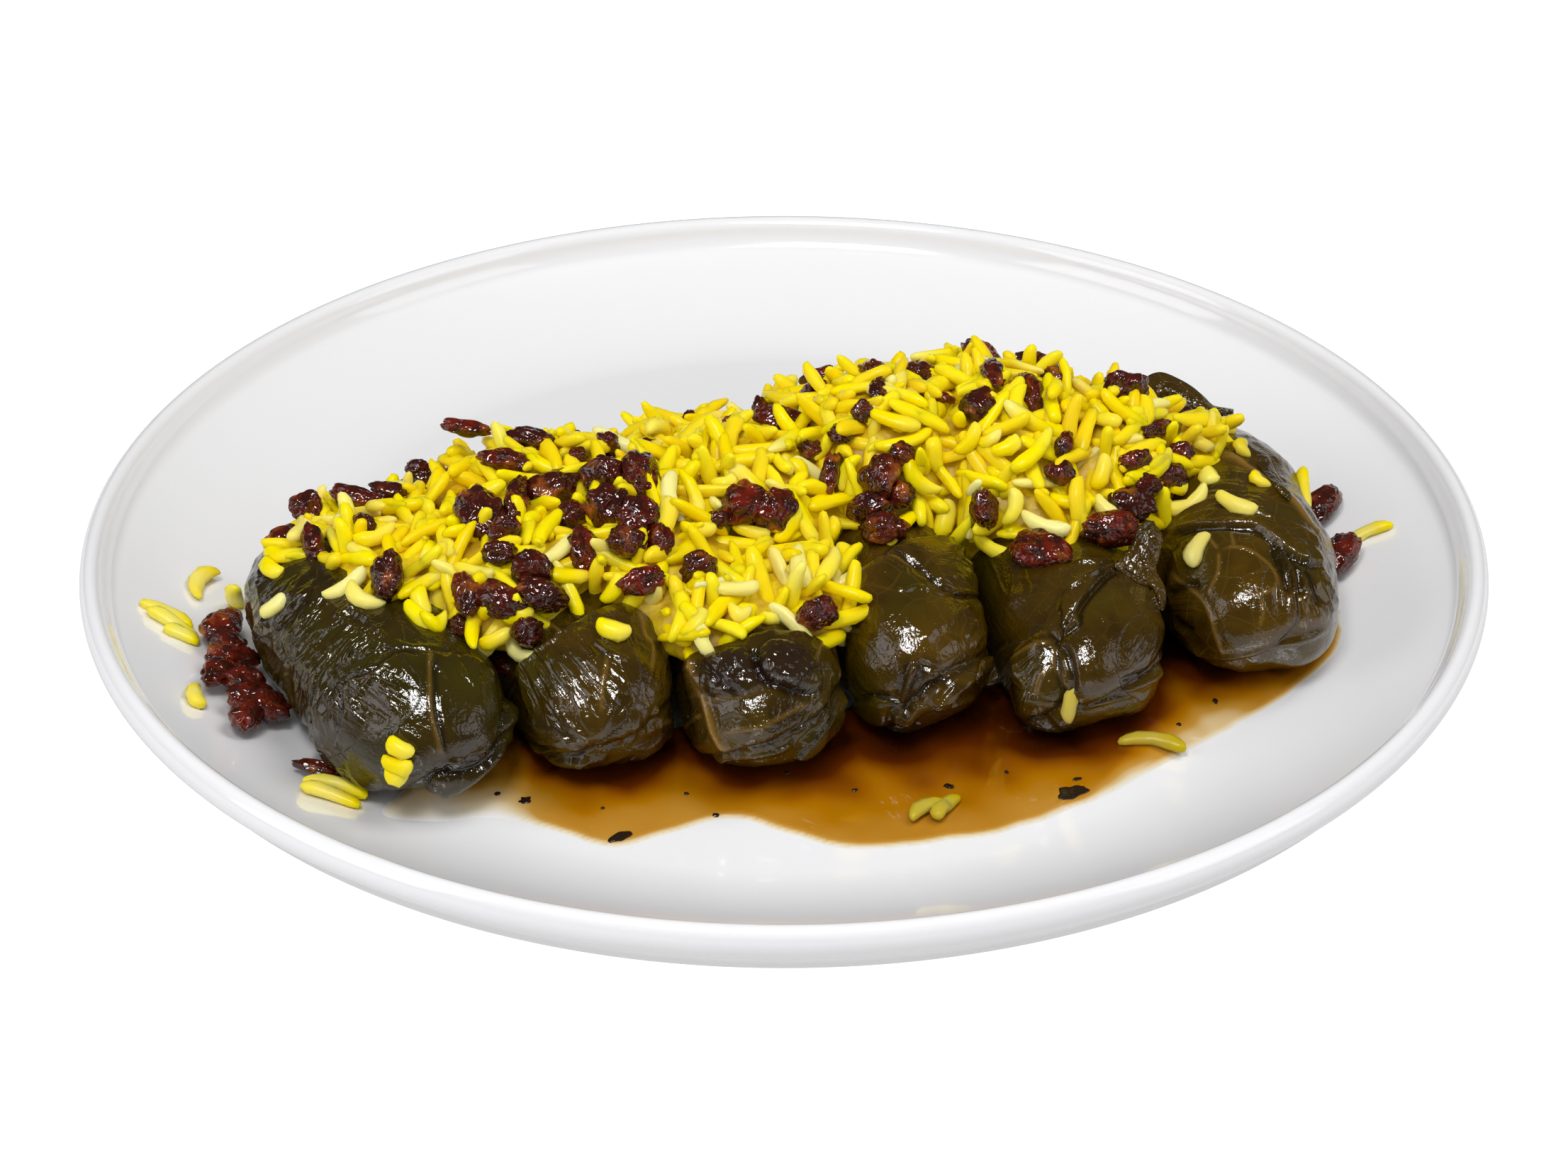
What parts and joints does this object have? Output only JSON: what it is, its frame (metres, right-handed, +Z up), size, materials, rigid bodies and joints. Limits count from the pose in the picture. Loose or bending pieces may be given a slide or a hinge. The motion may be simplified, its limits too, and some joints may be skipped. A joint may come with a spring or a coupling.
{
  "type": "plate of stuffed vine leaves",
  "caption": "Stuffed vine leaf rolls side by side on a round white plate, heaped with saffron rice and barberries, in brown juice.",
  "frame": {"origin": "centre of the plate's foot, on the table", "axes": "+Z up; the rolls' front ends look towards -Y; +X runs along the row of rolls, from the first to the last"},
  "size_m": [0.24, 0.24, 0.0475],
  "materials": {
    "porcelain": "white glazed porcelain",
    "vine_leaf": "wet dark olive vine leaf with veins and folds",
    "saffron_rice": "moist boiled rice dyed yellow with saffron",
    "juice": "thin wet brown cooking juice",
    "barberry": "wrinkled dark red dried berry, glossy"
  },
  "bodies": {
    "root": {"plate": "porcelain", "dolma_1": "vine_leaf", "dolma_2": "vine_leaf", "dolma_3": "vine_leaf", "dolma_4": "vine_leaf", "dolma_5": "vine_leaf", "dolma_6": "vine_leaf", "rice_topping": "saffron_rice", "sauce": "juice", "barberries_left": "barberry", "barberry_front": "barberry", "barberry_right_rear": "barberry", "barberry_right_front": "barberry"}
  },
  "joints": []
}
